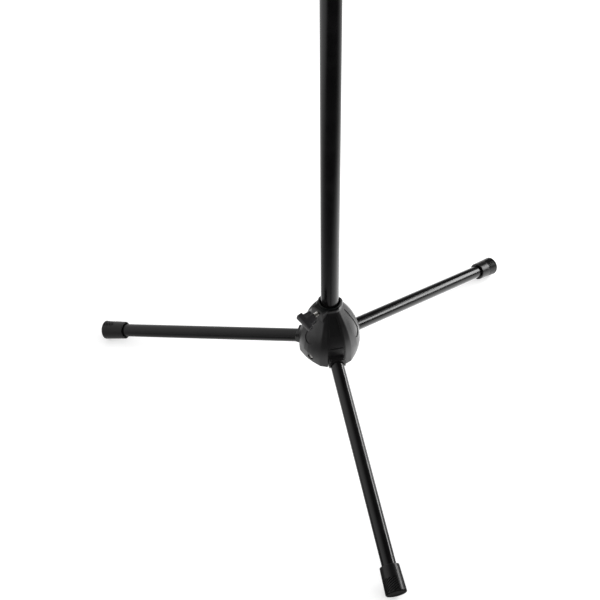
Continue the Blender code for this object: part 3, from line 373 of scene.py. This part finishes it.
def phosphated_steel(colours):
    """Pressed steel with a phosphate coat: dark grey crystals, dull and slightly oily."""
    tree, shader, where = start_material("phosphated_steel")
    # The coat's crystals are 0.1 mm, drawn at 0.7 mm so that they show.
    crystals = add_node(tree, "ShaderNodeTexVoronoi", {"Vector": where, "Scale": per_metre(0.7)})
    shade = add_node(tree, "ShaderNodeHueSaturation", {"Color": colours.phosphate, "Value": 1.25})
    tint = add_node(tree, "ShaderNodeMix", {
        FACTOR: crystals.outputs["Distance"], COLOUR_A: colours.phosphate,
        COLOUR_B: shade.outputs["Color"]}, data_type="RGBA")
    gloss = add_node(tree, "ShaderNodeMapRange", {
        "Value": crystals.outputs["Distance"], "From Min": 0.0, "From Max": 0.8,
        "To Min": 0.38, "To Max": 0.52})
    fill(tree, shader, {
        "Base Color": tint.outputs[MIXED_COLOUR], "Roughness": gloss.outputs["Result"],
        "Metallic": 1.0})


def seen_as_background(tree):
    """Two switches: for what the eye sees straight, and for what it sees in metal or glass."""
    rays = add_node(tree, "ShaderNodeLightPath")
    mirrored = add_node(tree, "ShaderNodeMath", {
        0: rays.outputs["Is Glossy Ray"], 1: rays.outputs["Is Transmission Ray"]},
        operation="MAXIMUM")
    return rays.outputs["Is Camera Ray"], mirrored.outputs["Value"]


def studio_floor(colours):
    """Matte white paper: white to the eye, with the stand's shadows and a painted reflection."""
    tree, shader, where = start_material("matte_white_studio_floor")
    # Rolled paper has a tooth about 2 mm across that only just shows in the shadows.
    tooth = add_node(tree, "ShaderNodeTexNoise", {
        "Vector": where, "Scale": per_metre(2.0), "Detail": 3.0})
    bump = add_node(tree, "ShaderNodeBump", {
        "Height": tooth.outputs["Fac"], "Strength": 0.04, "Distance": 0.0002})
    straight, mirrored = seen_as_background(tree)
    # A share of white is added for the eye alone, so that the paper is as white as the room.
    lift = add_node(tree, "ShaderNodeMath", {0: straight, 1: 0.42}, operation="MULTIPLY")
    fill(tree, shader, {
        "Base Color": colours.floor, "Roughness": 0.9, "Specular IOR Level": 0.0,
        "Normal": bump.outputs["Normal"], "Emission Color": WHITE,
        "Emission Strength": lift.outputs["Value"]})
    # In the polish of the tubes the sweep shows a painted reflection: white at the back and far
    # out at the left, falling off in painted shade toward the front. A painted pool of light,
    # standing in for the lamp's, lies on it behind the right leg.
    toward_back, toward_left = (0.2, 0.98, 0.0), (-0.94, 0.34, 0.0)
    painted_pool_middle = (0.2, 0.15, 0.0)
    back = add_node(tree, "ShaderNodeVectorMath", {0: where, 1: toward_back},
                    operation="DOT_PRODUCT")
    sweep = add_node(tree, "ShaderNodeMapRange", {
        "Value": back.outputs["Value"], "From Min": -0.40, "From Max": 0.75,
        "To Min": 0.03, "To Max": 1.0}, interpolation_type="SMOOTHSTEP")
    left = add_node(tree, "ShaderNodeVectorMath", {0: where, 1: toward_left},
                    operation="DOT_PRODUCT")
    side = add_node(tree, "ShaderNodeMapRange", {
        "Value": left.outputs["Value"], "From Min": 0.40, "From Max": 0.95,
        "To Min": 0.0, "To Max": 1.1}, interpolation_type="SMOOTHSTEP")
    away = add_node(tree, "ShaderNodeVectorMath", {0: where, 1: painted_pool_middle},
                    operation="DISTANCE")
    painted_pool = add_node(tree, "ShaderNodeMapRange", {
        "Value": away.outputs["Value"], "From Min": 0.0, "From Max": 0.48,
        "To Min": 1.7, "To Max": 0.0}, interpolation_type="SMOOTHSTEP")
    paper = add_node(tree, "ShaderNodeMath", {
        0: sweep.outputs["Result"], 1: side.outputs["Result"]}, operation="MAXIMUM")
    level = add_node(tree, "ShaderNodeMath", {
        0: paper.outputs["Value"], 1: painted_pool.outputs["Result"]}, operation="ADD")
    # The floor glows with this painted reflection for glossy and transmission rays only.
    painted_reflection = add_node(tree, "ShaderNodeEmission", {
        "Color": WHITE, "Strength": level.outputs["Value"]})
    both = add_node(tree, "ShaderNodeMixShader", {
        0: mirrored, 1: shader.outputs["BSDF"], 2: painted_reflection.outputs["Emission"]})
    output = next(item for item in tree.nodes if item.type == "OUTPUT_MATERIAL")
    fill(tree, output, {"Surface": both.outputs["Shader"]})


def finish_named(name):
    """A material that an earlier operator made."""
    found = bpy.data.materials.get(name)
    if found is None:
        raise RuntimeError("the finish %s isn't made yet" % name)
    return found


def soft_shading():
    """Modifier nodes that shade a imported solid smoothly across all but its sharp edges."""
    tree = bpy.data.node_groups.new("soft_shading", "GeometryNodeTree")
    tree.interface.new_socket("Geometry", in_out="INPUT", socket_type="NodeSocketGeometry")
    limit = tree.interface.new_socket("Sharp angle", in_out="INPUT", socket_type="NodeSocketFloat")
    limit.default_value = math.radians(SHARP_SOLID)
    tree.interface.new_socket("Geometry", in_out="OUTPUT", socket_type="NodeSocketGeometry")
    start = add_node(tree, "NodeGroupInput")
    whole = add_node(tree, "GeometryNodeMergeByDistance", {
        "Geometry": start.outputs["Geometry"], "Distance": SAME_POINT})
    rounded = add_node(tree, "GeometryNodeSetShadeSmooth", {
        "Geometry": whole.outputs["Geometry"]}, domain="FACE")
    angle = add_node(tree, "GeometryNodeInputMeshEdgeAngle").outputs["Unsigned Angle"]
    sharp = add_node(tree, "FunctionNodeCompare", {
        0: angle, 1: start.outputs["Sharp angle"]}, operation="GREATER_THAN")
    creased = add_node(tree, "GeometryNodeSetShadeSmooth", {
        "Geometry": rounded.outputs["Geometry"], "Selection": sharp.outputs["Result"],
        "Shade Smooth": False}, domain="EDGE")
    add_node(tree, "NodeGroupOutput", {"Geometry": creased.outputs["Geometry"]})
    return tree


def coat(node_names, finish, sharp_angle=SHARP_SOLID):
    """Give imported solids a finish, and shade them round across edges flatter than an angle."""
    tree = bpy.data.node_groups.get("soft_shading") or soft_shading()
    setting = next(item.identifier for item in tree.interface.items_tree
                   if item.name == "Sharp angle")
    for name in node_names:
        shading = NODES[name].modifiers.new("soft_shading", "NODES")
        shading.node_group = tree
        shading[setting] = math.radians(sharp_angle)
        for slot in NODES[name].material_slots:
            slot.material = finish


def axis_frame(origin, axis):
    """A local frame at a point, with Z along an axis and Y as near to straight up as it gets."""
    along = Vector(axis).normalized()
    up = Vector((0.0, 0.0, 1.0)) if abs(along.z) < NEAR_UPRIGHT else Vector((0.0, 1.0, 0.0))
    up = (up - along * up.dot(along)).normalized()
    side = up.cross(along)
    place = Matrix((side, up, along)).transposed().to_4x4()
    place.translation = Vector(origin)
    return place


def node_span(name, place):
    """Lowest and highest point of a solid along a frame's Z, and its greatest radius round it."""
    back = place.inverted()
    points = [back @ vertex.co for vertex in NODES[name].data.vertices]
    return (min(p.z for p in points), max(p.z for p in points),
            max(math.hypot(p.x, p.y) for p in points))


def skin(name, rings, place, finish, body):
    """Join rings of points, given in a local frame, into a closed piece that rides on a body."""
    form = bmesh.new()
    levels = [[form.verts.new(place @ Vector(point)) for point in ring] for ring in rings]
    count = len(levels[0])
    for low, high in zip(levels, levels[1:]):
        for k in range(count):
            form.faces.new((low[k], low[(k + 1) % count], high[(k + 1) % count], high[k]))
    form.faces.new(list(reversed(levels[0])))
    form.faces.new(levels[-1])
    # The feet are cut flat where they stand on the floor. Nothing else comes so low.
    for vertex in form.verts:
        vertex.co.z = max(vertex.co.z, 0.0)
    bmesh.ops.recalc_face_normals(form, faces=form.faces)
    mesh = bpy.data.meshes.new(name)
    form.to_mesh(mesh)
    form.free()
    mesh.shade_smooth()
    mesh.set_sharp_from_angle(angle=math.radians(SHARP_SKIN))
    item = bpy.data.objects.new(name, mesh)
    bpy.context.scene.collection.objects.link(item)
    item.data.materials.append(finish)
    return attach(item, body)


def wave(value):
    """A triangle wave: 1 at whole numbers and 0 halfway between."""
    return abs(value - math.floor(value) - 0.5) * 2.0


def tread_height(sizes, angle, along):
    """Height of the moulded diamonds at a place on a foot, from 0 in a groove to 1 on top.

    Real ones are about 2 mm across. They are drawn coarser so that the picture can show them.
    """
    arc = angle * sizes.foot_r_end / sizes.tread_pitch
    step = along / sizes.tread_rise
    groove = max(wave(arc + step), sizes.tread_cross * wave(arc - step))
    return min(1.0, TREAD_STEEPNESS * (1.0 - groove))


def foot_rows(sizes, rim, end):
    """Radius and height along a foot's outline, from the middle of its closed end to its bore."""
    radius, rim_r = sizes.foot_r_end, sizes.foot_r_rim
    edge, lip, dish = sizes.foot_edge, sizes.foot_lip, sizes.foot_dish
    low, high = rim + lip, end - edge
    rows = [(FOOT_MIDDLE, end - dish)]
    rows += [(radius * across, end - dish * deep) for across, deep in DISH]
    for k in range(EDGE_STEPS + 1):
        angle = math.radians(90.0 - 90.0 * k / EDGE_STEPS)
        rows.append((radius - edge + edge * math.cos(angle), high + edge * math.sin(angle)))
    taper = (radius - rim_r) / (end - rim)
    for k in range(1, FOOT_STEPS):
        height = high + (low - high) * k / FOOT_STEPS
        rows.append((radius - taper * (end - height), height))
    for k in range(LIP_STEPS + 1):
        angle = math.radians(-90.0 * k / LIP_STEPS)
        rows.append((rim_r - lip + lip * math.cos(angle), low + lip * math.sin(angle)))
    # The mouth's inner edge is a chamfer a third as wide as the lip.
    mouth, chamfer, step = sizes.foot_mouth, lip / 3, rim + sizes.foot_mouth_depth
    rows += [(mouth + chamfer, rim), (mouth, rim + chamfer), (mouth, step),
             (sizes.foot_bore, step), (sizes.foot_bore, end - sizes.foot_end_wall)]
    return rows


def make_foot(sizes, name, azimuth, finish):
    """One rubber foot: a tapered cap with a lipped mouth and a panel of moulded diamonds."""
    heading, drop = math.radians(azimuth), sizes.leg_drop
    axis = (math.cos(heading) * math.cos(drop), math.sin(heading) * math.cos(drop),
            -math.sin(drop))
    place = axis_frame(JOINTS["leg_%s_fold" % name]["pos_m"], axis)
    rim, end, _ = node_span("foot_" + name, place)
    rings = []
    for radius, height in foot_rows(sizes, rim, end):
        # The bore passes under the tread at a smaller radius, and stays plain.
        treaded = sizes.tread_start < height - rim < sizes.tread_end and radius > sizes.foot_r_rim
        ring = []
        for k in range(FOOT_COLUMNS):
            angle = 2.0 * math.pi * k / FOOT_COLUMNS - math.pi
            reach = radius
            if treaded and sizes.tread_from < angle < sizes.tread_to:
                reach -= sizes.tread_depth * (1.0 - tread_height(sizes, angle, height - rim))
            ring.append((reach * math.sin(angle), reach * math.cos(angle), height))
        rings.append(ring)
    foot = skin("rubber_foot_" + name, rings, place, finish, "leg_" + name)
    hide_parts("foot_" + name)


def thread_rings(low, high, radius, pitch, sides):
    """Rings of a cut screw thread with a lead-in at both ends, from low to high."""
    depth = pitch * THREAD_DEPTH
    steps = math.ceil((high - low) / pitch * THREAD_STEPS)
    rings = []
    for step in range(steps + 1):
        height = low + (high - low) * step / steps
        lead = min(1.0, (height - low) / pitch, (high - height) / pitch)
        ring = []
        for k in range(sides):
            angle = 2.0 * math.pi * k / sides
            flank = THREAD_CREST * wave(height / pitch - angle / (2.0 * math.pi)) - THREAD_ROOT
            reach = radius - depth * (1.0 - min(1.0, max(0.0, flank)) * lead)
            ring.append((reach * math.cos(angle), reach * math.sin(angle), height))
        rings.append(ring)
    return rings


class STAND_OT_finishes(Operator):
    """Make the stand's finishes"""

    bl_idname = "stand.finishes"
    bl_label = "Make finishes"

    def execute(self, context):
        colours = context.scene.stand_colours
        sizes = context.scene.stand_sizes
        baked_enamel(colours)
        moulded_nylon("moulded_glass_filled_nylon", colours.nylon, colours, sizes)
        moulded_nylon("knob_glass_filled_nylon", colours.nylon_knob, colours, sizes)
        moulded_acetal(colours, sizes)
        moulded_rubber(colours, sizes)
        zinc_plate(colours, sizes)
        phosphated_steel(colours)
        studio_floor(colours)
        return {"FINISHED"}


class STAND_OT_tubes(Operator):
    """Finish the mast, the rod and the legs, and the plug and the guide inside them"""

    bl_idname = "stand.tubes"
    bl_label = "Finish tubes"

    def execute(self, context):
        coat(["mast_tube", "inner_rod"] + ["leg_tube_" + name for name in LEGS],
             finish_named("baked_black_enamel"))
        coat(["mast_plug", "rod_guide"], finish_named("moulded_glass_filled_nylon"))
        return {"FINISHED"}


class STAND_OT_hub(Operator):
    """Finish the hub shell, its sleeve, its screws, the carrier, the pins and the brackets"""

    bl_idname = "stand.hub"
    bl_label = "Finish hub"

    def execute(self, context):
        nylon = finish_named("moulded_glass_filled_nylon")
        coat(["hub_shell"], nylon, SHARP_HUB)
        coat(["leg_bracket_" + name for name in LEGS], nylon)
        coat(["mast_sleeve"], finish_named("moulded_black_acetal"))
        coat(["shell_screw_" + name for name in LEGS], finish_named("bright_zinc_plated_steel"))
        coat(["leg_carrier"] + ["pivot_pin_" + name for name in LEGS],
             finish_named("phosphated_steel"))
        return {"FINISHED"}


class STAND_OT_clamp(Operator):
    """Finish the wing knob, the nut and the pad, and cut the clamp screw's thread"""

    bl_idname = "stand.clamp"
    bl_label = "Make clamp"

    def execute(self, context):
        zinc = finish_named("bright_zinc_plated_steel")
        coat(["clamp_knob"], finish_named("knob_glass_filled_nylon"))
        coat(["clamp_pad"], finish_named("moulded_black_acetal"))
        coat(["clamp_nut"], zinc)
        joint = JOINTS["clamp_turn"]
        place = axis_frame(joint["pos_m"], joint["axis"])
        low, high, radius = node_span("clamp_screw", place)
        pitch = context.scene.stand_sizes.clamp_pitch
        rings = thread_rings(low, high, radius, pitch, CLAMP_SIDES)
        screw = skin("threaded_clamp_screw", rings, place, zinc, "clamp_wing")
        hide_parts("clamp_screw")
        return {"FINISHED"}


class STAND_OT_feet(Operator):
    """Mould the three rubber feet"""

    bl_idname = "stand.feet"
    bl_label = "Make feet"

    def execute(self, context):
        rubber = finish_named("satin_moulded_rubber")
        for name, azimuth in LEGS.items():
            make_foot(context.scene.stand_sizes, name, azimuth, rubber)
        return {"FINISHED"}


class STAND_OT_clutch(Operator):
    """Finish the twist clutch: its base, its collet and its ribbed grip"""

    bl_idname = "stand.clutch"
    bl_label = "Finish clutch"

    def execute(self, context):
        coat(["clutch_base"], finish_named("moulded_glass_filled_nylon"))
        coat(["clutch_collet"], finish_named("moulded_black_acetal"))
        coat(["clutch_grip"], finish_named("satin_moulded_rubber"))
        return {"FINISHED"}


class STAND_OT_stud(Operator):
    """Cut the microphone thread on the rod's top"""

    bl_idname = "stand.stud"
    bl_label = "Make stud"

    def execute(self, context):
        sizes = context.scene.stand_sizes
        shoulder, chamfer = sizes.stud_shoulder, sizes.edge_round
        low_corner, high_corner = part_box("thread_stud")
        middle = (low_corner + high_corner) / 2
        place = axis_frame((middle.x, middle.y, 0.0), (0.0, 0.0, 1.0))
        bottom, top, shoulder_r = node_span("thread_stud", place)
        seat = top - sizes.stud_thread - shoulder
        # Height and radius of the solid's points. The thread is measured on its upper half, and
        # the spigot below the shoulder, where the middle of its end is left out.
        points = [(v.co.z, math.hypot(v.co.x - middle.x, v.co.y - middle.y))
                  for v in NODES["thread_stud"].data.vertices]
        thread_r = max(radius for height, radius in points if height > top - sizes.stud_thread / 2)
        spigot_r = min(radius for height, radius in points
                       if height < seat - shoulder and radius > shoulder_r / 4)
        outline = [(spigot_r, bottom), (spigot_r, seat), (shoulder_r - chamfer, seat),
                   (shoulder_r, seat + chamfer), (shoulder_r, seat + shoulder - chamfer),
                   (shoulder_r - chamfer, seat + shoulder)]
        angles = [2.0 * math.pi * k / STUD_SIDES for k in range(STUD_SIDES)]
        rings = [[(radius * math.cos(angle), radius * math.sin(angle), height)
                  for angle in angles] for radius, height in outline]
        rings += thread_rings(top - sizes.stud_thread, top, thread_r, sizes.stud_pitch, STUD_SIDES)
        zinc = finish_named("bright_zinc_plated_steel")
        stud = skin("threaded_microphone_stud", rings, place, zinc, "rod")
        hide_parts("thread_stud")
        return {"FINISHED"}


class STAND_OT_stage(Operator):
    """Lay the floor, hang the lamp, light the room and set the camera"""

    bl_idname = "stand.stage"
    bl_label = "Set stage"

    def execute(self, context):
        self.lay_floor(context.scene)
        self.hang_lamp(context.scene)
        self.light_room(context.scene)
        self.set_camera(context.scene)
        context.scene.view_settings.view_transform = "Standard"
        return {"FINISHED"}

    def lay_floor(self, scene):
        """A flat floor, 12 m across, a hair under the feet."""
        half_width, gap = 6.0, 0.0004
        form = bmesh.new()
        bmesh.ops.create_grid(form, x_segments=1, y_segments=1, size=half_width)
        mesh = bpy.data.meshes.new("studio_floor")
        form.to_mesh(mesh)
        form.free()
        mesh.materials.append(finish_named("matte_white_studio_floor"))
        floor = bpy.data.objects.new("studio_floor", mesh)
        floor.location.z = -gap
        scene.collection.objects.link(floor)

    def hang_lamp(self, scene):
        """One strip soft box, low at the right, that draws the bright streaks on the tubes."""
        target = Vector((0.0, 0.08, 0.12))
        heading, rise, reach = math.radians(10.0), math.radians(16.0), 1.7
        where = target + reach * Vector((math.cos(heading) * math.cos(rise),
                                         math.sin(heading) * math.cos(rise), math.sin(rise)))
        lamp = bpy.data.lights.new("right_strip", "AREA")
        lamp.shape = "RECTANGLE"
        lamp.size = 1.2
        lamp.size_y = 0.42
        lamp.energy = 19.0
        item = bpy.data.objects.new("right_strip", lamp)
        item.location = where
        item.rotation_euler = (where - target).to_track_quat("Z", "Y").to_euler()
        scene.collection.objects.link(item)

    def light_room(self, scene):
        """A pale room that is white to the eye, with its white wall at the back left in polish."""
        world = bpy.data.worlds.new("white_room")
        scene.world = world
        world.use_nodes = True
        tree = world.node_tree
        tree.nodes.clear()
        back_left = (-0.8, 0.6, 0.0)
        way = add_node(tree, "ShaderNodeTexCoord").outputs["Generated"]
        toward = add_node(tree, "ShaderNodeVectorMath", {0: way, 1: back_left},
                          operation="DOT_PRODUCT")
        wall = add_node(tree, "ShaderNodeMapRange", {
            "Value": toward.outputs["Value"], "From Min": 0.0, "From Max": 0.9,
            "To Min": 0.03, "To Max": 1.0}, interpolation_type="SMOOTHSTEP")
        straight, mirrored = seen_as_background(tree)
        even = add_node(tree, "ShaderNodeMapRange", {
            "Value": straight, "To Min": 0.75, "To Max": 1.0})
        strength = add_node(tree, "ShaderNodeMix", {
            FACTOR: mirrored, NUMBER_A: even.outputs["Result"], NUMBER_B: wall.outputs["Result"]})
        room = add_node(tree, "ShaderNodeBackground", {
            "Color": WHITE, "Strength": strength.outputs[MIXED_NUMBER]})
        add_node(tree, "ShaderNodeOutputWorld", {"Surface": room.outputs["Background"]})

    def set_camera(self, scene):
        """The camera looks down on the stand from the front left, as in the picture."""
        where = Vector((-0.23842, -0.89900, 1.18766))
        yaw, pitch, roll = math.radians(11.4446), math.radians(45.0897), math.radians(-1.316)
        ahead = Vector((math.sin(yaw) * math.cos(pitch), math.cos(yaw) * math.cos(pitch),
                        -math.sin(pitch)))
        level = Vector((math.cos(yaw), -math.sin(yaw), 0.0))
        rise = level.cross(ahead)
        right = math.cos(roll) * level + math.sin(roll) * rise
        up = math.cos(roll) * rise - math.sin(roll) * level
        place = Matrix((right, up, -ahead)).transposed().to_4x4()
        place.translation = where
        lens = bpy.data.cameras.new("camera")
        lens.sensor_width = 36.0
        lens.lens = 66.642
        lens.clip_start = 0.01
        camera = bpy.data.objects.new("camera", lens)
        camera.matrix_world = place
        scene.collection.objects.link(camera)
        scene.camera = camera


STEPS = (STAND_OT_finishes, STAND_OT_tubes, STAND_OT_hub, STAND_OT_clamp, STAND_OT_feet,
         STAND_OT_clutch, STAND_OT_stud, STAND_OT_stage)


class STAND_PT_sidebar(Panel):
    """Steps, sizes and colours of the stand"""

    bl_label = "Microphone stand"
    bl_idname = "STAND_PT_sidebar"
    bl_space_type = "VIEW_3D"
    bl_region_type = "UI"
    bl_category = "Stand"

    def draw(self, context):
        for step in STEPS:
            self.layout.operator(step.bl_idname)
        for group in (context.scene.stand_sizes, context.scene.stand_colours):
            box = self.layout.box()
            for name in group.__annotations__:
                box.prop(group, name)


CLASSES = (StandSizes, StandColours, *STEPS, STAND_PT_sidebar)


def register():
    """Add the stand's sizes, colours, steps and sidebar."""
    for item in CLASSES:
        bpy.utils.register_class(item)
    bpy.types.Scene.stand_sizes = PointerProperty(type=StandSizes)
    bpy.types.Scene.stand_colours = PointerProperty(type=StandColours)


def unregister():
    """Take away what register added."""
    del bpy.types.Scene.stand_colours
    del bpy.types.Scene.stand_sizes
    for item in reversed(CLASSES):
        bpy.utils.unregister_class(item)


def main():
    """Run every step in order."""
    register()
    bpy.ops.stand.finishes()
    bpy.ops.stand.tubes()
    bpy.ops.stand.hub()
    bpy.ops.stand.clamp()
    bpy.ops.stand.feet()
    bpy.ops.stand.clutch()
    bpy.ops.stand.stud()
    bpy.ops.stand.stage()


if __name__ == "__main__":
    main()
